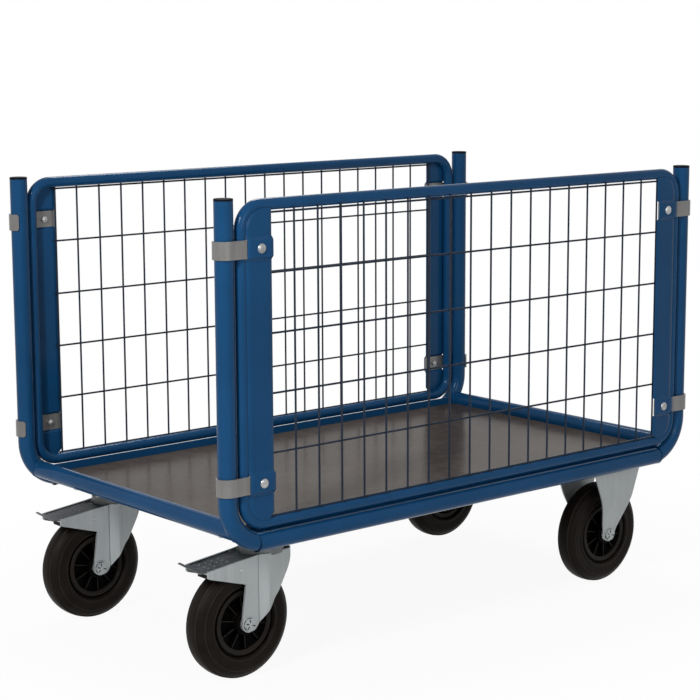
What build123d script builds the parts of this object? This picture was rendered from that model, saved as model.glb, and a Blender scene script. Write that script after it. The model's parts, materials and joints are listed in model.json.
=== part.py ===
from build123d import *
import os
from math import cos, radians, sin

# Frame of bent tube, in millimetres: X along the length, Z up, origin on the floor in the middle
POST_X = 558.0
POST_Y = 317.0
POST_TOP = 833.0
TUBE_R = 16.0
CROSS_R = 15.8
CAP_T = 4.0
RAIL_Z = 258.5
BEND_R = 75.0
SEAM_X = 503.0
CROSS_ANGLE = 45.0

# Deck board, the flat strips along its edges and the pressed cross channels under it
DECK_TOP = 273.0
DECK_T = 12.0
DECK_X = 520.0
DECK_Y = 297.6
DECK_CORNER = 18.0
STRIP_X = 519.5
STRIP_T = 3.0
STRIP_LOW = 255.0
STRIP_TOP = 287.0
CHANNEL_T = 4.0
CASTOR_CHANNEL = 150.0
MIDDLE_CHANNEL = 60.0
CHANNEL_LIP = 16.0
CHANNEL_REACH = 312.0

# Castor places, plates and bolts
CASTOR_X = 425.0
CASTOR_Y = 231.0
CASTOR_H = 250.0
PLATE_L = 140.0
PLATE_W = 110.0
PLATE_T = 5.0
PLATE_CORNER = 8.0
BOLT_PITCH_X = 105.0
BOLT_PITCH_Y = 75.0
BOLT_NECK = 9.0
BOLT_FLATS = 17.0
BOLT_HEAD_T = 6.5
BOLT_NUT_T = 7.0

# Wheels and axles
WHEEL_R = 100.0
WHEEL_W = 46.0
SHOULDER = 20.0
RIM_R = 62.0
RIM_W = 40.0
WEB_W = 10.0
DISH_R = 50.0
DISH_W = 18.0
LIP_R = 53.0
HUB_R = 21.0
HUB_W = 54.0
RIB_COUNT = 10
RIB_T = 2.0
RIB_W = 34.0
BEARING_R = 14.0
AXLE_R = 6.0
AXLE_FLATS = 22.0
AXLE_HEAD_T = 6.5
RUNNING_GAP = 0.05

# Fixed bracket: folded sheet, flared seen from the end and waisted seen from the side
SHEET_LEG = 4.0
LEG_OUT = 33.0
FLARE_LOW = 150.0
FLARE_HIGH = 235.0
BRACKET_TOP_HALF = 56.0
WAIST_HALF = 29.0
WAIST_Z = 172.0
SHIN_HALF = 18.5
SHIN_Z = 118.0
FOOT_R = 16.0

# Swivel fork: pressed sheet with a wing behind for the brake, X measured from the king bolt
TRAIL = 53.0
FORK_TOP = 223.0
CROWN_T = 5.0
CROWN_REAR = -36.0
FORK_FRONT = 46.0
FORK_HALF = 39.0
NOSE_R = 18.0
NOSE_LOW = 190.0
KNEE_X = 13.0
KNEE_Z = 143.0
CREASE_REAR = -27.0
CREASE_FRONT = -3.0
WING_ROOT = -42.0
WING_ROOT_TOP = 217.0
WING_TIP = -136.0
WING_TIP_TOP = 206.8
WING_TIP_LOW = 195.0
ARMPIT_X = -60.5
ARMPIT_Z = 170.5
FORK_FOOT_R = 16.0
SHIN_FRONT = -37.5
SHIN_FRONT_Z = 88.0
FORK_CORNER = 6.0
RACE_R = 40.0
RACE_TOP_R = 34.0
RACE_BORE_R = 13.0
KING_R = 8.0
KING_HEAD_R = 13.0
KING_HEAD_T = 2.0
KING_FLATS = 24.0
KING_NUT_T = 8.0
FACE_GAP = 0.4

# Foot brake: folded pedal between the wings, with a shoe over the tyre
PIVOT_X = -65.0
PIVOT_Z = 196.0
PIN_R = 4.0
BRAKE_ANGLE = 7.0
PEDAL_T = 3.0
PEDAL_HALF = 28.4
PEDAL_FLANGE = 2.5
PEDAL_FRONT = -50.0
PEDAL_REAR = -132.0
PEDAL_DROP = 1.2
PEDAL_EDGE = 7.0
EAR = 9.0
EAR_REAR = 14.0
LIP_T = 2.0
LIP_NEAR = -28.0
LIP_FAR = 50.0
LIP_SKEW = 10.0
LIP_DEPTH = 4.5
LIP_TIP = -149.5
SHOE_FRONT = -86.0
SHOE_REAR = -120.0
SHOE_HALF = 21.0
SHOE_GAP = 2.2

# Lift-out side panels: tube loop, wire mesh and end plates with pressed-out channels
PANEL_TUBE_R = 10.0
PANEL_X = 530.0
PANEL_Y = POST_Y + 5.5
PANEL_LOW = 292.0
PANEL_TOP = 819.5
PANEL_CORNER = 40.0
WIRE = 4.0
MESH_PITCH_X = 50.0
MESH_COLUMNS = 19
MESH_WIRES_Z = (408.0, 508.0, 608.0, 708.0)
SHEET = 2.0
SHEET_OUT = POST_Y + 15.0
SHEET_EDGE = 472.5
SHEET_INSET = 5.0
SHEET_CHAMFER = 12.0
EMBOSS = 5.5
EMBOSS_HALF = 19.0
EMBOSS_SLOPE = 4.0

# Hook straps that carry the panels on the posts, and their bolts
STRAP_W = 30.0
STRAP_T = 3.0
STRAP_HEIGHTS = (362.0, 750.0)
STRAP_END = 473.5
JOGGLE_IN = 538.0
JOGGLE_OUT = 543.0
STRAP_WRAP = 145.0
STRAP_CORNER = 5.0
HOOK_GAP = 0.4
STRAP_BOLT_X = 497.5
STRAP_BOLT_NECK = 8.0
STRAP_HEAD_R = 8.5
STRAP_HEAD_TOP_R = 5.5
STRAP_HEAD_T = 3.4
STRAP_NUT_FLATS = 10.0
STRAP_NUT_T = 6.5

# Places worked out from the sizes above
BEND_X = POST_X - BEND_R
BEND_Z = RAIL_Z + BEND_R
CROSS_X = BEND_X + BEND_R * cos(radians(CROSS_ANGLE))
CROSS_Z = BEND_Z - BEND_R * sin(radians(CROSS_ANGLE))
DECK_LOW = DECK_TOP - DECK_T
STRIP_OUT = POST_Y - TUBE_R
STRIP_IN = STRIP_OUT - STRIP_T
PLATE_LOW = CASTOR_H - PLATE_T
LEG_IN = LEG_OUT - SHEET_LEG
CROWN_LOW = FORK_TOP - CROWN_T
WING_SLOPE = (WING_ROOT_TOP - WING_TIP_TOP) / (WING_ROOT - WING_TIP)
MESH_OUT = SHEET_OUT - SHEET
EMBOSS_OUT = SHEET_OUT + EMBOSS
STRAP_OUT = EMBOSS_OUT - SHEET
STRAP_IN = STRAP_OUT - STRAP_T
HOOK_R = TUBE_R + HOOK_GAP
BEYOND = 700.0
UPWARD = (Align.CENTER, Align.CENTER, Align.MIN)


def bar_x(radius, x0, x1, y, z):
    return Pos((x0 + x1) / 2, y, z) * Rot(Y=90) * Cylinder(radius, x1 - x0)


def bar_y(radius, y0, y1, x, z):
    return Pos(x, (y0 + y1) / 2, z) * Rot(X=90) * Cylinder(radius, y1 - y0)


def bar_z(radius, z0, z1, x, y):
    return Pos(x, y, z0) * Cylinder(radius, z1 - z0, align=UPWARD)


def hexagon(flats, height):
    return extrude(RegularPolygon(flats / 2, 6, major_radius=False), height)


def hex_z(flats, z0, z1, x=0, y=0):
    return Pos(x, y, z0) * hexagon(flats, z1 - z0)


def hex_y(flats, y0, y1, x, z):
    return Pos(x, y1, z) * Rot(X=90) * hexagon(flats, y1 - y0)


def block_z(width, z0, z1, x, y):
    return Pos(x, y, z0) * Box(width, width, z1 - z0, align=UPWARD)


def plan_face(points):
    """A flat face in the XY plane from (x, y) points."""
    return make_face(Polyline(*[(x, y, 0) for x, y in points], close=True))


def side_face(points):
    """A flat face in the XZ plane from (x, z) points."""
    return make_face(Polyline(*[(x, 0, z) for x, z in points], close=True))


def across(face, y0, y1):
    """An XZ face drawn out from y0 to y1."""
    return Pos(0, y0, 0) * extrude(face, y1 - y0, dir=(0, 1, 0))


def ahead_of(x):
    """Everything with a larger X, near enough to the floor."""
    return Pos(x, 0, 0) * Box(BEYOND, BEYOND, BEYOND, align=(Align.MIN, Align.CENTER, Align.CENTER))


def group(shapes):
    """Separate solids that share one node."""
    return Compound([solid for shape in shapes for solid in shape.solids()])


def bent_post():
    """Rear right post with its bend, cut upright at the weld seam."""
    straight = bar_z(TUBE_R, BEND_Z, POST_TOP - CAP_T, -POST_X, -POST_Y)
    start = Pos(-POST_X, -POST_Y, BEND_Z) * Circle(TUBE_R)
    turn = Axis((-BEND_X, -POST_Y, BEND_Z), (0, -1, 0))
    return straight + (revolve(start, turn, 90) - ahead_of(-SEAM_X))


def long_rail():
    """Right rail, butted against the bends of two posts."""
    return bar_x(TUBE_R, -SEAM_X, SEAM_X, -POST_Y, RAIL_Z)


def edge_strip():
    """Flat strip on edge inside the right rail, standing above the deck."""
    middle = -(STRIP_IN + STRIP_OUT) / 2
    return Pos(0, middle, STRIP_LOW) * Box(2 * STRIP_X, STRIP_T, STRIP_TOP - STRIP_LOW, align=UPWARD)


def strip_room():
    """Room for both edge strips and all that lies outside them, at the strips' height."""
    outward = (Align.CENTER, Align.MIN, Align.MIN)
    beside = Pos(0, STRIP_IN, STRIP_LOW) * Box(2 * BEYOND, BEYOND, BEYOND, align=outward)
    return [beside, mirror(beside, Plane.XZ)]


def cross_rail(posts):
    """Rear cross rail, coped on to the bends of two posts."""
    return bar_y(CROSS_R, -POST_Y, POST_Y, -CROSS_X, CROSS_Z) - posts


def cross_channel(x, base, cuts):
    """Pressed hat channel: its lips carry the deck and its ends meet the rails."""
    half = base / 2
    step = DECK_LOW - CHANNEL_T
    right = [
        (half, CASTOR_H),
        (half, step),
        (half + CHANNEL_LIP, step),
        (half + CHANNEL_LIP, DECK_LOW),
        (half - CHANNEL_T, DECK_LOW),
        (half - CHANNEL_T, CASTOR_H + CHANNEL_T),
    ]
    left = [(-along, up) for along, up in reversed(right)]
    hat = across(side_face(right + left), -CHANNEL_REACH, CHANNEL_REACH)
    return Pos(x, 0, 0) * hat - cuts


def deck_board():
    outline = RectangleRounded(2 * DECK_X, 2 * DECK_Y, DECK_CORNER)
    return Pos(0, 0, DECK_LOW) * extrude(outline, DECK_T)


def post_cap():
    return bar_z(TUBE_R, POST_TOP - CAP_T, POST_TOP, -POST_X, -POST_Y)


def tyre():
    """Solid rubber tyre about its own axle, which lies along Y."""
    half = WHEEL_W / 2
    section = plan_face([(RIM_R, -half), (WHEEL_R, -half), (WHEEL_R, half), (RIM_R, half)])
    tread = section.vertices().filter_by_position(Axis.X, WHEEL_R - 1, WHEEL_R + 1)
    return revolve(fillet(tread, SHOULDER), Axis.Y)


def rim():
    """Moulded rim about its axle: hub, dished web, outer lip and radial ribs."""
    right = [
        (BEARING_R, -HUB_W / 2),
        (HUB_R, -HUB_W / 2),
        (HUB_R, -WEB_W / 2),
        (DISH_R, -DISH_W / 2),
        (LIP_R, -RIM_W / 2),
        (RIM_R, -RIM_W / 2),
    ]
    left = [(radius, -y) for radius, y in reversed(right)]
    body = revolve(plan_face(right + left), Axis.Y)
    middle = (HUB_R + LIP_R) / 2
    rib = Pos(middle, 0, 0) * Box(RIM_R - BEARING_R, RIB_W, RIB_T)
    ribs = [Rot(Y=360 * i / RIB_COUNT) * rib for i in range(RIB_COUNT)]
    ring = Cylinder(LIP_R, RIM_W) - Cylinder(HUB_R, RIM_W)
    return body + ((Part() + ribs) & (Rot(X=90) * ring))


def bearing():
    """Wheel bearing, as its closed sleeve between hub and axle."""
    sleeve = Cylinder(BEARING_R, HUB_W) - Cylinder(AXLE_R + RUNNING_GAP, HUB_W)
    return Rot(X=90) * sleeve


def axle():
    """Axle bolt with its head on one leg and its nut on the other."""
    bolt = bar_y(AXLE_R, -LEG_OUT, LEG_OUT, 0, 0)
    head = hex_y(AXLE_FLATS, -LEG_OUT - AXLE_HEAD_T, -LEG_OUT, 0, 0)
    nut = hex_y(AXLE_FLATS, LEG_OUT, LEG_OUT + AXLE_HEAD_T, 0, 0)
    return group([bolt + head, nut])


def top_plate():
    outline = RectangleRounded(PLATE_L, PLATE_W, PLATE_CORNER)
    return Pos(0, 0, PLATE_LOW) * extrude(outline, PLATE_T)


def bolt_spots():
    return [(spot.position.X, spot.position.Y) for spot in GridLocations(BOLT_PITCH_X, BOLT_PITCH_Y, 2, 2)]


def bolt_holes():
    """Square holes for the necks of one castor's bolts."""
    return [block_z(BOLT_NECK, PLATE_LOW, CASTOR_H + CHANNEL_T, x, y) for x, y in bolt_spots()]


def castor_bolts():
    """One castor's bolts, heads inside the channel and nuts under the plate."""
    seat = CASTOR_H + CHANNEL_T
    pieces = []
    for x, y in bolt_spots():
        neck = block_z(BOLT_NECK, PLATE_LOW, seat, x, y)
        pieces.append(neck + hex_z(BOLT_FLATS, seat, seat + BOLT_HEAD_T, x, y))
        pieces.append(hex_z(BOLT_FLATS, PLATE_LOW - BOLT_NUT_T, PLATE_LOW, x, y))
    return group(pieces)


def fixed_bracket():
    """Fixed castor's bracket about the middle of its plate."""
    half = PLATE_W / 2
    fold = half - SHEET_LEG
    outer = [(LEG_OUT, 0), (LEG_OUT, FLARE_LOW), (half, FLARE_HIGH), (half, CASTOR_H)]
    inner = [(LEG_IN, 0), (LEG_IN, FLARE_LOW), (fold, FLARE_HIGH), (fold, PLATE_LOW)]
    right = inner[::-1] + outer
    section = right + [(-y, z) for y, z in reversed(right)]
    folded = make_face(Polyline(*[(0, y, z) for y, z in section], close=True))
    sheet = extrude(folded, PLATE_L / 2, dir=(1, 0, 0), both=True)

    top, waist, shin = (BRACKET_TOP_HALF, PLATE_LOW), (WAIST_HALF, WAIST_Z), (SHIN_HALF, SHIN_Z)
    flank = ThreePointArc(*[(x, 0, z) for x, z in (top, waist, shin)])
    shank = [(SHIN_HALF, SHIN_Z), (FOOT_R, WHEEL_R), (-FOOT_R, WHEEL_R), (-SHIN_HALF, SHIN_Z)]
    foot = Polyline(*[(x, 0, z) for x, z in shank])
    edge = Line((-BRACKET_TOP_HALF, 0, PLATE_LOW), (BRACKET_TOP_HALF, 0, PLATE_LOW))
    leg = across(make_face(flank + foot + mirror(flank, Plane.YZ) + edge), -half, half)
    toe = bar_y(FOOT_R, -half, half, 0, WHEEL_R)
    return (sheet & (leg + toe + top_plate())) - bolt_holes() - bar_y(AXLE_R, -half, half, 0, WHEEL_R)


def swivel_plate():
    """Top plate of a swivel castor, with the king bolt's hole."""
    return top_plate() - bolt_holes() - king_shank()


def king_shank():
    head = bar_z(KING_HEAD_R, CASTOR_H - KING_HEAD_T, CASTOR_H, 0, 0)
    return head + bar_z(KING_R, CROWN_LOW - FACE_GAP, CASTOR_H, 0, 0)


def king_bolt():
    """Riveted king bolt with its nut under the fork's crown."""
    seat = CROWN_LOW - FACE_GAP
    return group([king_shank(), hex_z(KING_FLATS, seat - KING_NUT_T, seat)])


def ball_race():
    """Pressed ball race between the fork's crown and the top plate."""
    height = PLATE_LOW - FACE_GAP - FORK_TOP
    ring = Cone(RACE_R, RACE_TOP_R, height, align=UPWARD) - Cylinder(RACE_BORE_R, height, align=UPWARD)
    return Pos(0, 0, FORK_TOP) * ring


def fork():
    """Swivel fork about its king bolt: creased sheet trimmed to its side outline, under a flat crown."""
    rear = WING_TIP - 2 * SHEET_LEG
    flank = [(rear, LEG_OUT), (CREASE_REAR, LEG_OUT), (CREASE_FRONT, FORK_HALF), (FORK_FRONT, FORK_HALF)]
    plan = plan_face(flank + [(x, -y) for x, y in reversed(flank)])
    nose = plan.vertices().filter_by_position(Axis.X, FORK_FRONT - 1, FORK_FRONT + 1)
    plan = fillet(nose, NOSE_R)
    skin = plan - offset(plan, -SHEET_LEG)
    outline = side_face(
        [
            (WING_TIP, WING_TIP_TOP),
            (WING_ROOT, WING_ROOT_TOP),
            (CROWN_REAR, FORK_TOP),
            (FORK_FRONT, FORK_TOP),
            (FORK_FRONT, NOSE_LOW),
            (KNEE_X, KNEE_Z),
            (SHIN_FRONT, SHIN_FRONT_Z),
            (-TRAIL, WHEEL_R),
            (-TRAIL - FORK_FOOT_R, WHEEL_R),
            (ARMPIT_X, ARMPIT_Z),
            (WING_TIP, WING_TIP_LOW),
        ]
    )
    upper = outline.vertices().filter_by_position(Axis.Z, KNEE_Z, WING_TIP_LOW + 1)
    outline = fillet(upper, FORK_CORNER)
    foot = bar_y(FORK_FOOT_R, -FORK_HALF, FORK_HALF, -TRAIL, WHEEL_R)
    legs = extrude(skin, FORK_TOP) & (across(outline, -FORK_HALF, FORK_HALF) + foot)
    crown = (Pos(0, 0, CROWN_LOW) * extrude(plan, CROWN_T)) & ahead_of(CROWN_REAR)
    holes = [
        bar_z(KING_R + RUNNING_GAP, CROWN_LOW, FORK_TOP, 0, 0),
        bar_y(AXLE_R, -FORK_HALF, FORK_HALF, -TRAIL, WHEEL_R),
        bar_y(PIN_R, -FORK_HALF, FORK_HALF, PIVOT_X, PIVOT_Z),
    ]
    return legs + crown - holes


def pedal_pins():
    """Two rivets in the wings that the pedal turns on."""
    inner = PEDAL_HALF - PEDAL_FLANGE
    pin = bar_y(PIN_R, inner, LEG_OUT + 1, PIVOT_X, PIVOT_Z)
    return group([pin, mirror(pin, Plane.XZ)])


def pedal_top(x):
    """Height of the pedal's tread, just under the wings' upper edges."""
    return WING_ROOT_TOP + WING_SLOPE * (x - WING_ROOT) - PEDAL_DROP


def brake_pedal():
    """Folded pedal with ears on the pivots, a turned-down edge and a thin skewed lip."""
    front, rear = pedal_top(PEDAL_FRONT), pedal_top(PEDAL_REAR)
    profile = side_face(
        [
            (PEDAL_FRONT, front),
            (PEDAL_REAR, rear),
            (PEDAL_REAR, rear - PEDAL_EDGE),
            (PIVOT_X - EAR_REAR, PIVOT_Z - EAR),
            (PIVOT_X + EAR, PIVOT_Z - EAR),
            (PEDAL_FRONT, PIVOT_Z),
        ]
    )
    edge = PEDAL_REAR + PEDAL_FLANGE
    hollow = side_face(
        [
            (PEDAL_FRONT + 1, pedal_top(PEDAL_FRONT + 1) - PEDAL_T),
            (edge, pedal_top(edge) - PEDAL_T),
            (edge, 0),
            (PEDAL_FRONT + 1, 0),
        ]
    )
    inner = PEDAL_HALF - PEDAL_FLANGE
    body = across(profile, -PEDAL_HALF, PEDAL_HALF) - across(hollow, -inner, inner)
    slant = LIP_SKEW / (LIP_FAR - LIP_NEAR)
    step = -LIP_NEAR
    lip = plan_face(
        [
            (PEDAL_REAR, LIP_NEAR),
            (LIP_TIP, LIP_NEAR),
            (LIP_TIP + LIP_SKEW, LIP_FAR),
            (LIP_TIP + LIP_SKEW + LIP_DEPTH, LIP_FAR),
            (LIP_TIP + LIP_DEPTH + slant * (step - LIP_NEAR), step),
            (PEDAL_REAR, step),
        ]
    )
    tab = Pos(0, 0, rear - LIP_T) * extrude(lip, LIP_T)
    return body + tab - bar_y(PIN_R + RUNNING_GAP, -PEDAL_HALF, PEDAL_HALF, PIVOT_X, PIVOT_Z)


def brake_shoe():
    """Rubber block under the pedal, hollowed to the tyre's curve when the pedal is down."""
    block = side_face(
        [
            (SHOE_FRONT, pedal_top(SHOE_FRONT) - PEDAL_T),
            (SHOE_REAR, pedal_top(SHOE_REAR) - PEDAL_T),
            (SHOE_REAR, WHEEL_R),
            (SHOE_FRONT, WHEEL_R),
        ]
    )
    wheel = bar_y(WHEEL_R + SHOE_GAP, -LEG_OUT, LEG_OUT, -TRAIL, WHEEL_R)
    raised = wheel.rotate(Axis((PIVOT_X, 0, PIVOT_Z), (0, 1, 0)), BRAKE_ANGLE)
    return across(block, -SHOE_HALF, SHOE_HALF) - raised


def panel_tube():
    """Right panel's tube loop with its four bent corners."""
    long_x = PANEL_X - PANEL_CORNER
    low, high = PANEL_LOW + PANEL_CORNER, PANEL_TOP - PANEL_CORNER
    loop = bar_z(PANEL_TUBE_R, low, high, PANEL_X, -PANEL_Y)
    loop += bar_z(PANEL_TUBE_R, low, high, -PANEL_X, -PANEL_Y)
    for level, turn_z in ((PANEL_LOW, low), (PANEL_TOP, high)):
        loop += bar_x(PANEL_TUBE_R, -long_x, long_x, -PANEL_Y, level)
        for side in (-1, 1):
            start = Pos(side * PANEL_X, -PANEL_Y, turn_z) * Circle(PANEL_TUBE_R)
            down = side if level == PANEL_LOW else -side
            loop += revolve(start, Axis((side * long_x, -PANEL_Y, turn_z), (0, down, 0)), 90)
    return loop


def wire_mesh(tube):
    """Right panel's welded mesh as one holed sheet, cut to the tube."""
    half = MESH_COLUMNS * MESH_PITCH_X / 2 + WIRE / 2
    edge = PANEL_TUBE_R + WIRE / 2
    rows = (PANEL_LOW + edge,) + MESH_WIRES_Z + (PANEL_TOP - edge,)
    net = side_face([(-half, PANEL_LOW), (half, PANEL_LOW), (half, PANEL_TOP), (-half, PANEL_TOP)])
    gaps = []
    for low, high in zip(rows, rows[1:]):
        for column in range(MESH_COLUMNS):
            x0 = (column - MESH_COLUMNS / 2) * MESH_PITCH_X + WIRE / 2
            x1 = x0 + MESH_PITCH_X - WIRE
            z0, z1 = low + WIRE / 2, high - WIRE / 2
            gaps.append(side_face([(x0, z0), (x1, z0), (x1, z1), (x0, z1)]))
    return across(net - gaps, -MESH_OUT, -MESH_OUT + WIRE) - tube


def end_plate(tube):
    """Right panel's rear end plate: sheet with two pressed-out channels for the straps."""
    bumps = []
    for height in STRAP_HEIGHTS:
        bumps += [
            (0, height - EMBOSS_HALF),
            (EMBOSS, height - EMBOSS_HALF + EMBOSS_SLOPE),
            (EMBOSS, height + EMBOSS_HALF - EMBOSS_SLOPE),
            (0, height + EMBOSS_HALF),
        ]
    line = [(0, PANEL_LOW)] + bumps + [(0, PANEL_TOP)]
    outer = [(-SHEET_OUT - out, z) for out, z in line]
    inner = [(-MESH_OUT - out, z) for out, z in reversed(line)]
    section = make_face(Polyline(*[(0, y, z) for y, z in outer + inner], close=True))
    sheet = Pos(-PANEL_X, 0, 0) * extrude(section, PANEL_X - SHEET_EDGE, dir=(1, 0, 0))

    tall = PANEL_TOP - PANEL_LOW - 2 * SHEET_INSET
    rounded = RectangleRounded(2 * (PANEL_X - SHEET_INSET), tall, PANEL_CORNER - SHEET_INSET)
    low = PANEL_LOW + SHEET_INSET
    within = Pos(0, 0, (PANEL_LOW + PANEL_TOP) / 2) * Rot(X=90) * extrude(rounded, BEYOND)
    corner = side_face(
        [(-SHEET_EDGE, 0), (-SHEET_EDGE, low + SHEET_CHAMFER), (-SHEET_EDGE - SHEET_CHAMFER, low),
         (-SHEET_EDGE - SHEET_CHAMFER, 0)]
    )
    return (sheet & within) - across(corner, -BEYOND, 0) - tube - strap_holes()


def strap_holes():
    """Square holes for the necks of the bolts at the right panel's rear end."""
    hole = Box(STRAP_BOLT_NECK, BEYOND, STRAP_BOLT_NECK)
    return [Pos(-STRAP_BOLT_X, -BEYOND / 2, height) * hole for height in STRAP_HEIGHTS]


def hook_strap(height):
    """One galvanised strap at the right panel's rear end, bent round the post."""
    joggle_out = POST_Y + HOOK_R
    inner = Polyline(
        (STRAP_END, STRAP_IN), (JOGGLE_IN, STRAP_IN), (JOGGLE_OUT, joggle_out), (POST_X, joggle_out)
    )
    outer = Polyline(
        (STRAP_END, STRAP_OUT), (JOGGLE_IN, STRAP_OUT), (JOGGLE_OUT, joggle_out + STRAP_T),
        (POST_X, joggle_out + STRAP_T)
    )
    inner_wrap = CenterArc((POST_X, POST_Y), HOOK_R, 90, -STRAP_WRAP)
    outer_wrap = CenterArc((POST_X, POST_Y), HOOK_R + STRAP_T, 90, -STRAP_WRAP)
    ends = Line(inner @ 0, outer @ 0) + Line(inner_wrap @ 1, outer_wrap @ 1)
    strap = extrude(make_face(inner + inner_wrap + ends + outer_wrap + outer), STRAP_W / 2, both=True)
    tip = [
        edge for edge in strap.edges()
        if edge.center().X > POST_X and abs(edge.length - STRAP_T) < RUNNING_GAP
    ]
    strap = fillet(tip, STRAP_CORNER)
    return Pos(0, 0, height) * Rot(Z=180) * strap - strap_holes()


def strap_bolt(height):
    """Round-headed bolt through plate and strap, with its nut inside."""
    neck = Pos(-STRAP_BOLT_X, -(EMBOSS_OUT + STRAP_IN) / 2, height) * Box(
        STRAP_BOLT_NECK, EMBOSS_OUT - STRAP_IN, STRAP_BOLT_NECK
    )
    dome = Cone(STRAP_HEAD_R, STRAP_HEAD_TOP_R, STRAP_HEAD_T, align=UPWARD)
    head = Pos(-STRAP_BOLT_X, -EMBOSS_OUT, height) * Rot(X=90) * dome
    nut = hex_y(STRAP_NUT_FLATS, -STRAP_IN, STRAP_NUT_T - STRAP_IN, -STRAP_BOLT_X, height)
    return group([neck + head, nut])


def both_ends(shapes):
    """Rear shapes with their mirror images at the front."""
    return group(list(shapes) + [mirror(shape, Plane.YZ) for shape in shapes])


def frame_nodes():
    """Welded frame, deck and what is fastened under it."""
    post, rail = bent_post(), long_rail()
    posts = {
        "rear_right": post,
        "rear_left": mirror(post, Plane.XZ),
        "front_right": mirror(post, Plane.YZ),
        "front_left": mirror(mirror(post, Plane.XZ), Plane.YZ),
    }
    rails = {"right": rail, "left": mirror(rail, Plane.XZ)}
    nodes = {f"post_{name}": shape for name, shape in posts.items()}
    nodes |= {f"rail_{name}": shape for name, shape in rails.items()}
    rear_rail = cross_rail([posts["rear_right"], posts["rear_left"]])
    nodes["cross_rail_rear"] = rear_rail
    nodes["cross_rail_front"] = mirror(rear_rail, Plane.YZ)

    strip = edge_strip()
    nodes["edge_strip_right"] = strip
    nodes["edge_strip_left"] = mirror(strip, Plane.XZ)

    sides = list(posts.values()) + list(rails.values()) + strip_room()
    holes = [Pos(-CASTOR_X, side * CASTOR_Y, 0) * hole for side in (-1, 1) for hole in bolt_holes()]
    rear_channel = cross_channel(-CASTOR_X, CASTOR_CHANNEL, sides + holes)
    nodes["castor_channel_rear"] = rear_channel
    nodes["castor_channel_front"] = mirror(rear_channel, Plane.YZ)
    nodes["middle_channel"] = cross_channel(0, MIDDLE_CHANNEL, sides)
    nodes["deck_board"] = deck_board()
    cap = post_cap()
    nodes["post_caps"] = both_ends([cap, mirror(cap, Plane.XZ)])
    bolts = castor_bolts()
    nodes["castor_bolts"] = both_ends([Pos(-CASTOR_X, side * CASTOR_Y, 0) * bolts for side in (-1, 1)])
    return nodes


def wheel_nodes(place, spot):
    """One wheel's pieces about its axle."""
    pieces = {"tyre": tyre(), "rim": rim(), "bearing": bearing()}
    return {f"{name}_{place}": spot * shape for name, shape in pieces.items()}


def castor_nodes(name, side):
    """The swivel castor and the fixed castor of one side."""
    king = Pos(-CASTOR_X, side * CASTOR_Y, 0)
    rear_axle = king * Pos(-TRAIL, 0, WHEEL_R)
    fixed = Pos(CASTOR_X, side * CASTOR_Y, 0)
    front_axle = fixed * Pos(0, 0, WHEEL_R)
    nodes = {
        f"swivel_plate_{name}": king * swivel_plate(),
        f"king_bolt_{name}": king * king_bolt(),
        f"ball_race_{name}": king * ball_race(),
        f"fork_{name}": king * fork(),
        f"pedal_pins_{name}": king * pedal_pins(),
        f"brake_pedal_{name}": king * brake_pedal(),
        f"brake_shoe_{name}": king * brake_shoe(),
        f"swivel_axle_{name}": rear_axle * axle(),
        f"fixed_bracket_{name}": fixed * fixed_bracket(),
        f"fixed_axle_{name}": front_axle * axle(),
    }
    nodes |= wheel_nodes(f"rear_{name}", rear_axle)
    nodes |= wheel_nodes(f"front_{name}", front_axle)
    return nodes


def panel_nodes():
    """Both side panels, the left one a mirror image of the right one."""
    tube = panel_tube()
    plate = end_plate(tube)
    right = {
        "panel_tube": tube,
        "wire_mesh": wire_mesh(tube),
        "end_plate_rear": plate,
        "end_plate_front": mirror(plate, Plane.YZ),
        "hook_straps": both_ends([hook_strap(height) for height in STRAP_HEIGHTS]),
        "strap_bolts": both_ends([strap_bolt(height) for height in STRAP_HEIGHTS]),
    }
    nodes = {f"{name}_right": shape for name, shape in right.items()}
    nodes |= {f"{name}_left": mirror(shape, Plane.XZ) for name, shape in right.items()}
    return nodes


def main():
    nodes = frame_nodes() | castor_nodes("right", -1) | castor_nodes("left", 1) | panel_nodes()
    os.makedirs("parts", exist_ok=True)
    for name, shape in nodes.items():
        export_step(shape, f"parts/{name}.step")


main()
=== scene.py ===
import json
from math import cos, hypot, pi, radians, sin, sqrt, tau

import bmesh
import bpy
from mathutils import Matrix, Vector


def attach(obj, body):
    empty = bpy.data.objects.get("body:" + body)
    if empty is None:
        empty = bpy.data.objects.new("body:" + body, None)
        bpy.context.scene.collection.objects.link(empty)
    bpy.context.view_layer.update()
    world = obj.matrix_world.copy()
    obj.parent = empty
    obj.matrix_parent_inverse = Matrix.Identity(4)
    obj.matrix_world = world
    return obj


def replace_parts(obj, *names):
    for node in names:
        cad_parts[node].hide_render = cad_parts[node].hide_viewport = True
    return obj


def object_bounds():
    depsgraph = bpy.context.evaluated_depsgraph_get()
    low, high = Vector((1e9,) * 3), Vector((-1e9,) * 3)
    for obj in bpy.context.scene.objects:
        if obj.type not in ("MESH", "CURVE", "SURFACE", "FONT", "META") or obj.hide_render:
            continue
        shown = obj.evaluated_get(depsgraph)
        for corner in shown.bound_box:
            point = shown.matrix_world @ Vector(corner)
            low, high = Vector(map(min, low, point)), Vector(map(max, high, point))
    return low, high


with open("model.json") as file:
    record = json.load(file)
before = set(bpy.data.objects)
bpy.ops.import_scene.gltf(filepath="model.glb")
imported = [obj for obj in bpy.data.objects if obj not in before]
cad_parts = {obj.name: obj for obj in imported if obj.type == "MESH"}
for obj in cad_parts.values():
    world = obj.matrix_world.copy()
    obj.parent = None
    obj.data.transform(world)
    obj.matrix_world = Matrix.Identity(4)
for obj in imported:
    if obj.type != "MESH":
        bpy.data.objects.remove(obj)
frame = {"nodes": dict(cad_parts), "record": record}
CAD_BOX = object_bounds()
NODES = frame["nodes"]
SCENE = bpy.context.scene
SIDES = (("right", -1), ("left", 1))
ENDS = (("rear", -1), ("front", 1))
ALONG_Y = Vector((0, 1, 0))
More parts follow.
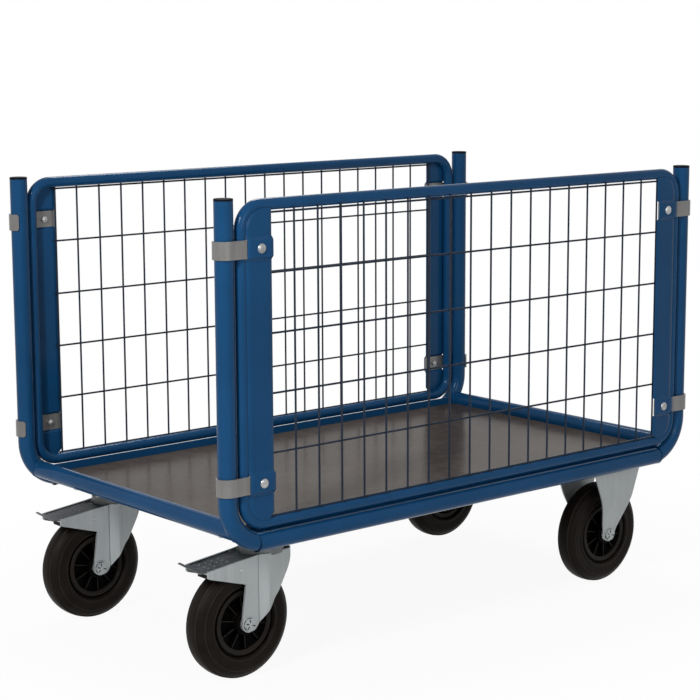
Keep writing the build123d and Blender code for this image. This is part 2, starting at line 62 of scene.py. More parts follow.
UP = Vector((0, 0, 1))

# Camera fitted to the photograph: metres, radians, pixels and the sensor's millimetres
CAMERA_PLACE = Vector((-2.3574, -2.7614, 1.0897))
CAMERA_YAW = 0.7008
CAMERA_PITCH = 0.1643
CAMERA_ROLL = 0.0043
FOCAL_PIXELS = 1904.8
PICTURE_PIXELS = 700
SENSOR = 36.0

# Studio
FILL_LIGHT = 0.16
FLOOR_REACH = 6.0
FLOOR_GAP = 0.0005
PAPER_WHITE_NEAR = 0.93
SHADOW_STRETCH = (0.8, 1.0, 0.0)
SHADOW_NEAR = 0.35
SHADOW_FAR = 1.1
LAMP_AIM = Vector((0, 0, 0.4))
LAMPS = (
    ("key", (-2.7, -1.2, 2.1), (0.28, 0.9), 62),
    ("back", (0.9, 1.3, 2.7), (0.9, 0.9), 32),
    ("front", (-0.6, -3.2, 1.4), (1.6, 1.2), 22),
)

# Tube frame, as in the solids
POST_X = 0.558
POST_Y = 0.317
CAP_LOW = 0.829
TUBE_R = 0.016
RAIL_Z = 0.2585
BEND_R = 0.075
SEAM_X = 0.503
CROSS_R = 0.0158
CROSS_TURN = radians(45)
WELD_R = 0.0014
WELD_RIPPLE = 0.0002
WELD_RIPPLES = 24
WELD_STEPS = 96

# Side panels, their mesh wires, pressed plates and strap bolts
PANEL_X = 0.530
PANEL_LOW = 0.292
PANEL_TOP = 0.8195
PANEL_CORNER = 0.040
WIRE_R = 0.0018
WIRE_OUT = 0.3305
WIRE_LAP = 0.0065
WIRE_FOOT = 0.0092
WIRE_CROSSING = 1.9 * WIRE_R
MESH_PITCH = 0.050
MESH_HALF = 0.475
MESH_LEVELS = (0.3019, 0.408, 0.508, 0.608, 0.708, 0.8065)
SHEET = 0.002
SHEET_IN = 0.330
SHEET_EDGE = 0.4725
SHEET_INSET = 0.005
SHEET_CHAMFER = 0.012
SHEET_RIM = 0.00095
EMBOSS = 0.0055
EMBOSS_HALF = 0.0165
EMBOSS_SOFT = 0.0040
STRAP_BOLT_X = 0.4975
STRAP_HEIGHTS = (0.362, 0.750)
STRAP_IN = 0.3325
STRAP_BOLT_R = 0.003
STRAP_BOLT_END = STRAP_IN - 0.0065
STRAP_NUT_FLATS = 0.010
STRAP_NUT_T = 0.005
EMBOSS_OUT = 0.3375

# Castor plates and bolts
CASTOR_X = 0.425
CASTOR_Y = 0.231
PLATE_LOW = 0.245
PLATE_TOP = 0.250
PLATE_HALF_X = 0.070
PLATE_HALF_Y = 0.055
PLATE_CORNER = 0.008
CHANNEL_SEAT = 0.254
BOLT_END = 0.2381
BOLT_PITCH_X = 0.105
BOLT_PITCH_Y = 0.075
BOLT_R = 0.004
BOLT_FLATS = 0.017
BOLT_HEAD_T = 0.0064
BOLT_NUT_T = 0.0062

# Wheels and axles
WHEEL_R = 0.100
TRAIL = 0.053
RIB_COUNT = 10
RIB_TURN = 0.35
RIB_FOOT = 0.0195
RIB_END = 0.050
LEG_OUT = 0.033
AXLE_R = 0.0059
AXLE_FLATS = 0.0210
AXLE_HEAD_T = 0.0060
AXLE_TIP_R = 0.0042
AXLE_TIP = 0.0064
# Dark marks on the axle heads: painted shade of the hex
SHADE_MARK_TURNS = (0.3, 2.3, 3.3, 4.3)
SHADE_MARK_LEVELS = (0.0058, 0.0061)
SHADE_MARK_OUTLINE = ((0.0036, -0.0006), (0.0094, -0.0013), (0.0094, 0.0013), (0.0036, 0.0006))

# Pressed bracket of the fixed castors
BRACKET_SHEET = 0.004
BRACKET_RIM = 0.0009
BRACKET_FOOT_HALF = 0.0178
BRACKET_FOOT_LOW = 0.0862
BRACKET_TAPER = 0.370
BRACKET_ANKLE = 0.107
BRACKET_SWING = (0.088, 0.185)

# Brake pedal between the wings, X measured from the castor's turning axis
WING_ROOT = -0.042
WING_ROOT_TOP = 0.217
WING_SLOPE = 0.0102 / 0.094
PEDAL_DROP = 0.0012
PEDAL_FRONT = -0.050
PEDAL_REAR = -0.132
STUD_FIRST = -0.082
STUD_PITCH = 0.013
STUD_ROWS = 4
# Black strips along the pedal's sides: painted shadow in the gaps beside the tread
PEDAL_SHADE_INSET = 0.001
PEDAL_SHADE_OUTLINE = (
    (0.0283, -0.0002), (0.0283, 0.0011), (0.0277, 0.0011), (0.0262, 0.0002), (0.0262, -0.0002),
)
EDGE_LOW = 0.0068
EDGE_HIGH = 0.0022
EDGE_LOW_HALF = 0.0275
EDGE_HIGH_HALF = 0.0270
EDGE_FACES = (0.0001, -0.0004)

# Pressed swivel fork, X measured in the same way
FORK_TOP = 0.223
WING_TIP = -0.136
WING_TIP_LOW = 0.1932
WING_CORNER = 0.0035
ARMPIT = (-0.0575, 0.1705)
KNEE = (0.011, 0.148)
SHIN_SLOPE = 0.833
NOSE_SLOPE = 0.541
NOSE_X = 0.028
NOSE_R = 0.018
NOSE_SKIRT = 0.209
FORK_FRONT = 0.046
FORK_HALF = 0.0352
FORK_LEVEL = 0.2186
FORK_SHEET = 0.004
FORK_RIM = 0.0009
FORK_FOOT_LOW = 0.0857
FORK_FOOT_REAR = 0.0138
FORK_FOOT_FRONT = 0.0255
CROWN_REAR = -0.0475
CROWN_T = 0.005
CROWN_DROP = 0.0045
CROWN_BORE = 0.0145
NOSE_TIP = FORK_FRONT - 0.0006
NOSE_FLAT = FORK_HALF - NOSE_R + 0.004
NOSE_TOP = FORK_LEVEL - 0.0004
NOSE_TURNS = (0, 20, 38, 54, 68, 80)
FORK_FOLD = (
    (-0.150, 0.0330), (-0.0318, 0.0330), (-0.0301, 0.0310), (-0.0285, 0.0333), (-0.0150, 0.0405),
    (-0.0134, 0.0410), (-0.0118, 0.0406), (0.0025, FORK_HALF), (NOSE_X, FORK_HALF),
)

# Chamfers of rods and hexagons, as shares of their size
ROD_END = 0.5
ROD_CHAMFER = 0.4
HEX_DROP = 0.6
HEX_FACE = 0.94

# How upright a swept path may be before its rings turn to another axis
STEEP = 0.9

# Rounding of sharp edges
MERGE_GAP = 0.00001
FLAT_ANGLE = radians(0.5)
SHARP_ANGLE = radians(28)
BEVEL_STEPS = 3

# Rows and columns of the finer sheets, and the turns in degrees of the rows at a round foot
BRACKET_FOOT_TURNS = range(4, 90, 6)
FORK_FOOT_TURNS = range(3, 90, 7)
PLATE_COLUMNS = 6
PLATE_BEND_ROWS = 12
PLATE_SLOPE_ROWS = 8
BRACKET_ROWS = 30
BRACKET_CORNER_STEPS = 6
FORK_ROWS = (16, 10, 10, 10)
CROWN_STEPS = 8


# Materials

class Material:
    """A material's node tree, with a short call that adds a node and links it."""

    def __init__(self, name):
        self.data = bpy.data.materials.new(name)
        self.data.use_nodes = True
        self.tree = self.data.node_tree
        self.tree.nodes.clear()
        self.place = self.add("ShaderNodeTexCoord").outputs["Object"]
        self.shader = self.add("ShaderNodeBsdfPrincipled")
        self.output = self.add("ShaderNodeOutputMaterial")
        self.tree.links.new(self.shader.outputs["BSDF"], self.output.inputs["Surface"])

    def add(self, kind, inputs=None, **settings):
        node = self.tree.nodes.new(kind)
        for name, value in settings.items():
            setattr(node, name, value)
        for name, value in (inputs or {}).items():
            self.put(node, name, value)
        return node

    def put(self, node, socket, value):
        if isinstance(value, bpy.types.NodeSocket):
            self.tree.links.new(value, node.inputs[socket])
        else:
            node.inputs[socket].default_value = value

    def set(self, **values):
        for name, value in values.items():
            self.put(self.shader, name.replace("_", " "), value)

    def stretched(self, scale):
        return self.add("ShaderNodeMapping", {"Vector": self.place, "Scale": scale}).outputs["Vector"]

    def noise(self, scale, detail=4.0, roughness=0.55, stretch=None):
        place = self.stretched(stretch) if stretch else self.place
        inputs = {"Vector": place, "Scale": scale, "Detail": detail, "Roughness": roughness}
        return self.add("ShaderNodeTexNoise", inputs).outputs["Fac"]

    def ramp(self, factor, stops):
        node = self.add("ShaderNodeValToRGB", {"Fac": factor})
        points = node.color_ramp.elements
        while len(points) < len(stops):
            points.new(0.5)
        for point, (position, colour) in zip(points, stops):
            point.position = position
            point.color = (*colour, 1.0)
        return node.outputs["Color"]

    def spread(self, factor, low, high, start=0.3, end=0.7):
        inputs = {"Value": factor, "From Min": start, "From Max": end, "To Min": low, "To Max": high}
        return self.add("ShaderNodeMapRange", inputs).outputs["Result"]

    def sum(self, first, second, share):
        part = self.add("ShaderNodeMath", {0: second, 1: share}, operation="MULTIPLY").outputs[0]
        return self.add("ShaderNodeMath", {0: first, 1: part}, operation="ADD").outputs[0]

    def bump(self, height, distance, strength):
        inputs = {"Height": height, "Distance": distance, "Strength": strength}
        return self.add("ShaderNodeBump", inputs).outputs["Normal"]


def powder_coat(name, dark, light, gloss=0.09, roughness=(0.12, 0.18)):
    """Powder coat: slight cloudiness, tiny specks and the fine ripple of sprayed paint."""
    made = Material(name)
    cloud = made.noise(7.0, detail=3.0)
    speck = made.noise(700.0, detail=1.0)
    colour = made.ramp(made.sum(cloud, speck, 0.25), [(0.42, dark), (0.85, light)])
    ripple = made.noise(380.0, detail=2.0)
    made.set(
        Base_Color=colour,
        Roughness=made.spread(made.noise(60.0), *roughness),
        Specular_IOR_Level=gloss,
        Normal=made.bump(ripple, 0.0001, 0.12),
    )
    return made.data


def metal(name, dark, light, roughness, streak, spots, shine):
    """Zinc on steel: drawn streaks, cloudy spangle and worn roughness."""
    made = Material(name)
    lines = made.noise(1.0, detail=4.0, stretch=streak)
    spangle = made.noise(spots, detail=2.0, roughness=0.4)
    mixed = made.spread(made.sum(lines, spangle, 0.6), 0.0, 1.0, 0.55, 1.05)
    low, high = roughness
    made.set(
        Base_Color=made.ramp(mixed, [(0.1, dark), (0.9, light)]),
        Metallic=shine,
        Roughness=made.spread(lines, low, high),
        Normal=made.bump(lines, 0.0001, 0.2),
    )
    return made.data


def deck_film():
    """Glossy brown film on plywood: mottling at three sizes and a fine pressed grain."""
    made = Material("deck_film")
    patch = made.noise(5.0, detail=4.0)
    mottle = made.noise(38.0, detail=6.0, roughness=0.65)
    fine = made.noise(240.0, detail=3.0)
    mixed = made.spread(made.sum(made.sum(patch, mottle, 0.8), fine, 0.5), 0.0, 1.0, 0.85, 1.45)
    shades = [(0.15, (0.074, 0.057, 0.046)), (0.5, (0.088, 0.072, 0.061)), (0.85, (0.104, 0.088, 0.077))]
    made.set(
        Base_Color=made.ramp(mixed, shades),
        Roughness=made.spread(mottle, 0.16, 0.26),
        Specular_IOR_Level=0.02,
    )
    return made.data


def rubber(name, dark, light, roughness, gloss):
    """Moulded rubber: dusty clouds and a fine matt grain."""
    made = Material(name)
    dust = made.noise(30.0, detail=5.0)
    grain = made.noise(900.0, detail=2.0)
    low, high = roughness
    made.set(
        Base_Color=made.ramp(dust, [(0.3, dark), (0.75, light)]),
        Roughness=made.spread(dust, low, high),
        Specular_IOR_Level=gloss,
        Normal=made.bump(grain, 0.00025, 0.4),
    )
    return made.data


def pebbled(name, dark, light):
    """Dark coated tread plate with a pebbled grip and scuffed spots."""
    made = Material(name)
    cells = made.add("ShaderNodeTexVoronoi", {"Vector": made.place, "Scale": 260.0}).outputs["Distance"]
    cloud = made.noise(55.0, detail=5.0)
    made.set(
        Base_Color=made.ramp(made.sum(cloud, cells, 0.4), [(0.45, dark), (0.95, light)]),
        Metallic=0.4,
        Roughness=made.spread(cloud, 0.4, 0.6),
        Normal=made.bump(cells, 0.0006, 0.6),
    )
    return made.data


BLUE = powder_coat("blue_coat", (0.0050, 0.052, 0.138), (0.0078, 0.064, 0.170))
# Near black blue on the rail seam rings: painted shade of the grooves at the rail seams
SEAM_SHADE = powder_coat("seam_shade_coat", (0.001, 0.008, 0.030), (0.002, 0.013, 0.045), 0.05, (0.4, 0.5))
WIRE = powder_coat("wire_coat", (0.014, 0.022, 0.036), (0.021, 0.030, 0.048), 0.08, (0.3, 0.45))
DECK = deck_film()
CAP = rubber("cap_plastic", (0.003, 0.004, 0.006), (0.006, 0.007, 0.010), (0.5, 0.65), 0.04)
GALVANISED = metal(
    "galvanised", (0.158, 0.155, 0.151), (0.196, 0.193, 0.188),
    roughness=(0.28, 0.38), streak=(90.0, 90.0, 8.0), spots=25.0, shine=0.35,
)
ZINC = metal(
    "zinc", (0.325, 0.348, 0.354), (0.390, 0.416, 0.422),
    roughness=(0.32, 0.44), streak=(70.0, 70.0, 5.0), spots=14.0, shine=0.4,
)
# Darker zinc on the ball race and the fork's crown: painted shade under the frame and deck
SHADED_ZINC = metal(
    "shaded_zinc", (0.100, 0.109, 0.110), (0.175, 0.186, 0.187),
    roughness=(0.34, 0.50), streak=(40.0, 40.0, 12.0), spots=30.0, shine=0.4,
)
STEEL = metal(
    "bright_steel", (0.26, 0.265, 0.27), (0.50, 0.505, 0.51),
    roughness=(0.26, 0.40), streak=(90.0, 90.0, 90.0), spots=120.0, shine=0.75,
)
PEDAL = pebbled("pedal_coat", (0.050, 0.054, 0.058), (0.165, 0.172, 0.180))
# Black rubber of the brake shoe, also used for the painted shadow strips beside the pedal's tread
RUBBER_AND_SHADE = rubber("shoe_rubber_and_shade", (0.004, 0.004, 0.004), (0.010, 0.009, 0.008), (0.55, 0.7), 0.1)
TYRE = rubber("tyre_rubber", (0.0072, 0.0052, 0.0040), (0.0135, 0.0104, 0.0082), (0.40, 0.55), 0.06)
# Lighter rubber on the tyre's mould lines: painted highlight on lit edges
HIGHLIGHT_RUBBER = rubber("highlight_rubber", (0.022, 0.018, 0.015), (0.040, 0.034, 0.029), (0.5, 0.65), 0.08)
NYLON = rubber("rim_nylon", (0.0120, 0.0096, 0.0080), (0.0190, 0.0155, 0.0130), (0.38, 0.52), 0.08)
# Near black nylon: painted shade in the rims' dish, hub, groove and rib webs and in the marks on the axle
# heads
SHADED_NYLON = rubber("shaded_nylon", (0.0008, 0.0006, 0.0005), (0.0020, 0.0016, 0.0014), (0.42, 0.56), 0.03)

SLOT_MATERIALS = {
    "blue_powder_coat": BLUE,
    "dark_wire": WIRE,
    "deck_face": DECK,
    "black_cap": CAP,
    "galvanised": GALVANISED,
    "zinc_plate": ZINC,
    "bright_fastener": STEEL,
    "pedal_grey": PEDAL,
    "black_rubber": RUBBER_AND_SHADE,
    "tyre_rubber": TYRE,
    "rim_nylon": NYLON,
}

# Edge rounding in metres for the solids that stay in sight, by the start of their names
EDGE_ROUNDING = {
    "hook_straps_": 0.0011,
    "deck_board": 0.0012,
    "edge_strip_": 0.0005,
    "castor_channel_": 0.0010,
    "middle_channel": 0.0010,
    "swivel_plate_": 0.0008,
    "brake_pedal_": 0.0006,
    "brake_shoe_": 0.0012,
    "pedal_pins_": 0.0006,
    "king_bolt_": 0.0008,
}


def dress_solids():
    """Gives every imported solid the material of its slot, and rounds the edges of sheet and block."""
    for entry in frame["record"]["subparts"]:
        node = NODES[entry["node"]]
        node.data.materials.clear()
        node.data.materials.append(SLOT_MATERIALS[entry["material_slot"]])
        for start, width in EDGE_ROUNDING.items():
            if entry["node"].startswith(start):
                round_edges(node, width)


def round_edges(made, width):
    """Joins the solid's faces, rounds its sharp edges and evens out the shading."""
    weld = made.modifiers.new("weld", "WELD")
    weld.merge_threshold = MERGE_GAP
    flat = made.modifiers.new("flat", "DECIMATE")
    flat.decimate_type = "DISSOLVE"
    flat.angle_limit = FLAT_ANGLE
    bevel = made.modifiers.new("bevel", "BEVEL")
    bevel.width = width
    bevel.segments = BEVEL_STEPS
    bevel.limit_method = "ANGLE"
    bevel.angle_limit = SHARP_ANGLE
    shading = made.modifiers.new("shading", "WEIGHTED_NORMAL")
    shading.keep_sharp = False


# Mesh helpers

class Build:
    """Vertices and faces of one piece, gathered from several parts."""

    def __init__(self):
        self.points = []
        self.faces = []

    def ring_tube(self, rings, closed=False, caps=True):
        """Joins equal rings of points into a tube."""
        start = len(self.points)
        size = len(rings[0])
        for ring in rings:
            self.points += [Vector(point) for point in ring]
        last = len(rings) if closed else len(rings) - 1
        for i in range(last):
            low, high = start + i * size, start + (i + 1) % len(rings) * size
            for k in range(size):
                n = (k + 1) % size
                self.faces.append((low + k, low + n, high + n, high + k))
        if caps and not closed:
            self.faces.append(tuple(start + k for k in reversed(range(size))))
            self.faces.append(tuple(start + (len(rings) - 1) * size + k for k in range(size)))

    def rod(self, start, end, radius, sides=10):
        """A round rod between two points, with chamfered ends."""
        start, end = Vector(start), Vector(end)
        length = (end - start).length
        chamfer = radius * ROD_CHAMFER
        tip = radius * ROD_END
        profile = [(tip, 0), (radius, chamfer), (radius, length - chamfer), (tip, length)]
        self.lathe(start, end - start, profile, sides, caps=True)

    def lathe(self, centre, axis, profile, segments, closed=False, caps=False):
        """Turns (radius, height) points about an axis through a centre."""
        centre, turn = Vector(centre), Vector(axis).to_track_quat("Z", "Y")
        angles = [tau * k / segments for k in range(segments)]
        rings = [
            [centre + turn @ Vector((radius * cos(a), radius * sin(a), height)) for a in angles]
            for radius, height in profile
        ]
        self.ring_tube(rings, closed=closed, caps=caps)

    def sweep(self, path, radii, sides):
        """A closed tube along a loop of points, with a radius at each of them."""
        rings = []
        for i, (place, radius) in enumerate(zip(path, radii)):
            forward = (path[(i + 1) % len(path)] - path[i - 1]).normalized()
            side = forward.cross(UP if abs(forward.z) < STEEP else ALONG_Y).normalized()
            over = side.cross(forward)
            angles = [tau * k / sides for k in range(sides)]
            rings.append([place + radius * (cos(a) * side + sin(a) * over) for a in angles])
        self.ring_tube(rings, closed=True)

    def slab(self, low, high):
        """A block between two equal outlines."""
        self.ring_tube([low, high])

    def hexagon(self, centre, axis, flats, height):
        """A chamfered hexagon head or nut that stands on its centre along an axis."""
        centre, turn = Vector(centre), Vector(axis).to_track_quat("Z", "Y")
        inner, outer = flats / 2, flats / sqrt(3)
        drop = (outer - inner) * HEX_DROP

        def ring(level, corner, middle, lower=0.0):
            spots = []
            for k in range(12):
                a = k * pi / 6
                radius = middle if k % 2 else corner
                up = level if k % 2 else level - lower
                spots.append(centre + turn @ Vector((radius * cos(a), radius * sin(a), up)))
            return spots

        face = inner * HEX_FACE
        self.ring_tube([ring(0, outer, inner), ring(height, outer, inner, drop), ring(height, face, face)])

    def piece(self, name, material, body, angle=35, other=None, other_from=None):
        """Makes the object on its body, smooth up to an angle; later faces may have another material."""
        mesh = bpy.data.meshes.new(name)
        mesh.from_pydata(self.points, [], self.faces)
        mesh.materials.append(material)
        if other:
            mesh.materials.append(other)
            for face in mesh.polygons[other_from:]:
                face.material_index = 1
        tidy = bmesh.new()
        tidy.from_mesh(mesh)
        bmesh.ops.recalc_face_normals(tidy, faces=tidy.faces)
        tidy.to_mesh(mesh)
        tidy.free()
        for face in mesh.polygons:
            face.use_smooth = True
        mesh.set_sharp_from_angle(angle=radians(angle))
        made = bpy.data.objects.new(name, mesh)
        SCENE.collection.objects.link(made)
        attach(made, body)
        return made


def millimetres(profile):
    """A profile written in millimetres, in metres."""
    return [(radius / 1000, height / 1000) for radius, height in profile]


def both_faces(half):
    """A closed profile from the half that lies at positive heights, outermost point first."""
    return half + [(radius, -height) for radius, height in reversed(half)]


def smooth_step(value):
    """0 below 0, 1 above 1 and an even S between."""
    held = min(max(value, 0.0), 1.0)
    return held * held * (3 - 2 * held)


# Frame pieces

def post_caps():
    """Moulded caps pushed into the posts, with a rounded rim and a slightly domed top."""
    build = Build()
    side = [(15.2, 0), (16.0, 0.15), (16.0, 2.9)]
    rim_and_top = [(15.6, 3.5), (14.8, 3.8), (12.0, 3.92), (0.6, 4.0)]
    for x in (-POST_X, POST_X):
        for y in (-POST_Y, POST_Y):
            build.lathe((x, y, CAP_LOW), UP, millimetres(side + rim_and_top), segments=48, caps=True)
    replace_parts(build.piece("moulded_caps", CAP, "frame"), "post_caps")


def seams():
    """Dark rings at the butt seams where the rails meet the bends: painted shade of the grooves there."""
    build = Build()
    profile = millimetres([(15.9, 0), (16.22, 0.2), (16.22, 2.2), (15.9, 2.4)])
    for x in (-SEAM_X, SEAM_X):
        for y in (-POST_Y, POST_Y):
            build.lathe((x, y, RAIL_Z), (-x, 0, 0), profile, segments=48, caps=True)
    build.piece("rail_seam_shade", SEAM_SHADE, "frame")


def cross_rail_welds():
    """Weld beads round the coped ends of the cross rails, smoothed by the paint."""
    build = Build()
    bend = POST_X - BEND_R
    turn_x, turn_z = bend + BEND_R * cos(CROSS_TURN), RAIL_Z + BEND_R - BEND_R * sin(CROSS_TURN)
    for end in (-1, 1):
        for side in (-1, 1):
            path, radii = [], []
            for k in range(WELD_STEPS):
                a = tau * k / WELD_STEPS
                x, z = turn_x + CROSS_R * cos(a), turn_z + CROSS_R * sin(a)
                off = hypot(x - bend, z - RAIL_Z - BEND_R) - BEND_R
                y = POST_Y - sqrt(TUBE_R ** 2 - off ** 2)
                path.append(Vector((end * x, side * y, z)))
                radii.append(WELD_R + WELD_RIPPLE * sin(WELD_RIPPLES * a))
            build.sweep(path, radii, sides=12)
    build.piece("cross_rail_welds", BLUE, "frame")


# Panel pieces

def mesh_panel(side, sign):
    """Round crossing wires of one side panel, the upright ones lapped on to the tube."""
    build = Build()
    outer, inner = sign * WIRE_OUT, sign * (WIRE_OUT - WIRE_CROSSING)
    count = round(2 * MESH_HALF / MESH_PITCH) + 1
    for i in range(count):
        x = -MESH_HALF + i * MESH_PITCH
        y = inner if i in (0, count - 1) else outer
        build.rod((x, y, PANEL_LOW + WIRE_FOOT), (x, y, PANEL_TOP - WIRE_LAP), WIRE_R)
    for level in MESH_LEVELS:
        build.rod((-MESH_HALF - WIRE_LAP, inner, level), (MESH_HALF + WIRE_LAP, inner, level), WIRE_R)
    made = build.piece(f"mesh_wires_{side}", WIRE, f"{side}_panel")
    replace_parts(made, f"wire_mesh_{side}")


def plate_levels(low, high):
    """Heights of a plate's rows: close together at its ends and at the pressed channels' slopes."""
    corner = PANEL_CORNER - SHEET_INSET
    levels = {low, low + SHEET_RIM, high - SHEET_RIM, high, low + SHEET_CHAMFER}
    for step in range(1, PLATE_BEND_ROWS + 1):
        rise = corner * (1 - cos(step * pi / (2 * PLATE_BEND_ROWS)))
        levels |= {low + rise, high - rise}
    for height in STRAP_HEIGHTS:
        for step in range(-PLATE_SLOPE_ROWS, PLATE_SLOPE_ROWS + 1):
            shift = EMBOSS_SOFT * step / PLATE_SLOPE_ROWS
            levels |= {height - EMBOSS_HALF + shift, height + EMBOSS_HALF + shift}
    return sorted(levels)


def plate_bulge(z):
    """How far the pressed channels stand out at a height."""
    bulge = 0.0
    for height in STRAP_HEIGHTS:
        inside = EMBOSS_HALF - abs(z - height)
        bulge += EMBOSS * smooth_step(inside / (2 * EMBOSS_SOFT) + 0.5)
    return bulge


def pressed_plate(end, along, side, sign):
    """End plate of a panel: rounded to the tube's bends, with soft pressed channels and eased edges."""
    low, high = PANEL_LOW + SHEET_INSET, PANEL_TOP - SHEET_INSET
    corner = PANEL_CORNER - SHEET_INSET
    rings = []
    for z in plate_levels(low, high):
        depth = max(corner - min(z - low, high - z), 0.0)
        far = PANEL_X - SHEET_INSET - corner + sqrt(corner ** 2 - depth ** 2)
        near = SHEET_EDGE + max(SHEET_CHAMFER - (z - low), 0.0)
        ease = SHEET_RIM if z in (low, high) else 0.0
        back = SHEET_IN + plate_bulge(z) + ease
        face = back + SHEET - 2 * ease
        width = far - near - 2 * SHEET_RIM
        columns = [far - SHEET_RIM - width * k / PLATE_COLUMNS for k in range(PLATE_COLUMNS + 1)]
        outline = [(far, face - SHEET_RIM)] + [(x, face) for x in columns]
        outline += [(near, face - SHEET_RIM), (near, back + SHEET_RIM)]
        outline += [(x, back) for x in reversed(columns)] + [(far, back + SHEET_RIM)]
        rings.append([Vector((along * x, sign * y, z)) for x, y in outline])
    build = Build()
    build.ring_tube(rings)
    made = build.piece(f"pressed_plate_{end}_{side}", BLUE, f"{side}_panel", angle=60)
    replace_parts(made, f"end_plate_{end}_{side}")


def strap_bolts(side, sign):
    """Domed bolts through plate and strap, with chamfered nuts inside."""
    build = Build()
    head_r, tip_r, edge_t, dome_t = 8.2, 0.1, 0.6, 2.8
    turns = [radians(step) for step in range(0, 91, 15)]
    dome = [(head_r + tip_r, 0)] + [(head_r * cos(a) + tip_r, edge_t + dome_t * sin(a)) for a in turns]
    outward = Vector((0, sign, 0))
    for x in (-STRAP_BOLT_X, STRAP_BOLT_X):
        for z in STRAP_HEIGHTS:
            build.lathe((x, sign * EMBOSS_OUT, z), outward, millimetres(dome), segments=32, caps=True)
            build.rod((x, sign * STRAP_BOLT_END, z), (x, sign * EMBOSS_OUT, z), STRAP_BOLT_R, sides=16)
            build.hexagon((x, sign * STRAP_IN, z), -outward, STRAP_NUT_FLATS, STRAP_NUT_T)
    made = build.piece(f"domed_bolts_{side}", STEEL, f"{side}_panel")
    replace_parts(made, f"strap_bolts_{side}")


# Castor pieces

def tyre(end, side, centre):
    """Solid tyre with raised mould lines in a lighter rubber as painted highlights: lip over the rim,
    plain wall, round shoulder, raised tread.
    """
    lip = [(61.6, 14.0), (62.0, 18.6), (63.4, 21.4), (65.0, 22.9), (67.4, 22.9)]
    wall = [(68.6, 21.9), (70.5, 21.7), (76.0, 22.3)]
    round_r, round_at, round_out = 19.4, 80, 3.4
    turns = [radians(degrees) for degrees in range(4, 61, 8)]
    shoulder = [(round_at + round_r * sin(a), round_out + round_r * cos(a)) for a in turns]
    tread = [(97.3, 12.6), (98.4, 12.0), (99.2, 9.6), (99.8, 6.4), (100, 3.0)]
    profile = both_faces(lip + wall + shoulder + tread)
    mould_lines = ((98.0, 12.2, 0.8), (84.2, 22.2, 0.6), (66.2, 22.3, 0.7))
    build = Build()
    build.lathe(centre, ALONG_Y, millimetres(profile), segments=128, closed=True)
    # Faces from here on, the mould lines, are the painted highlight
    plain = len(build.faces)
    for radius, rise, thick in mould_lines:
        ring = [(radius + thick * cos(k * pi / 3), rise + thick * sin(k * pi / 3)) for k in range(6)]
        for face in (-1, 1):
            build.lathe(centre, face * ALONG_Y, millimetres(ring), segments=128, closed=True)
    name, body = f"moulded_tyre_{end}_{side}", f"{end}_{side}_wheel"
    made = build.piece(name, TYRE, body, angle=50, other=HIGHLIGHT_RUBBER, other_from=plain)
    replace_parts(made, f"tyre_{end}_{side}")


def rib_layers(build, centre, layers):
    """Radial ribs on both faces of a rim; a layer is a half width and the heights at hub and lip."""
    for i in range(RIB_COUNT):
        spin = Matrix.Rotation(tau * (i + RIB_TURN) / RIB_COUNT, 3, "Y")
        for face in (-1, 1):
            rings = []
            for half_width, at_hub, at_lip in layers:
                hub, lip = (RIB_FOOT, at_hub), (RIB_END, at_lip)
                spots = [(*hub, -1), (*lip, -1), (*lip, 1), (*hub, 1)]
                rings.append([centre + spin @ Vector((r, face * y, t * half_width)) for r, y, t in spots])
            build.ring_tube(rings)


def rim(end, side, centre):
    """Nylon rim: a broad lip and thin radial ribs; the dish, hub, rib webs and the groove at the tyre are
    in a near black nylon as painted shade.
    """
    lip = [(57.8, 14.0), (57.6, 18.8), (56.6, 19.8), (55.0, 20.0)]
    lip += [(50.4, 19.6), (49.0, 18.8), (48.6, 17.6), (51.6, 9.0)]
    groove = [(62.2, 13.0), (61.9, 15.6), (57.4, 15.6), (57.0, 13.0)]
    dish = [(52.6, 12.0), (51.4, 9.6), (49.0, 8.4), (24.0, 5.8), (22.0, 6.6)]
    hub = [(21.2, 9.0), (20.8, 25.8), (20.2, 26.6), (19.0, 26.9), (15.0, 26.9), (14.0, 26.2)]
    crest = ((0.0008, 0.0166, 0.0156), (0.0008, 0.0170, 0.0160), (0.0005, 0.0172, 0.0162))
    web = ((0.0010, 0.0040, 0.0070), (0.0007, 0.0167, 0.0157))
    build = Build()
    build.lathe(centre, ALONG_Y, millimetres(both_faces(lip)), segments=96, closed=True)
    rib_layers(build, centre, crest)
    # Faces up to here keep the lip's nylon; the rib webs, groove, dish and hub after them are painted
    # shade
    light = len(build.faces)
    rib_layers(build, centre, web)
    for profile in (groove, dish + hub):
        build.lathe(centre, ALONG_Y, millimetres(both_faces(profile)), segments=96, closed=True)
    name, body = f"ribbed_rim_{end}_{side}", f"{end}_{side}_wheel"
    made = build.piece(name, NYLON, body, other=SHADED_NYLON, other_from=light)
    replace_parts(made, f"rim_{end}_{side}")


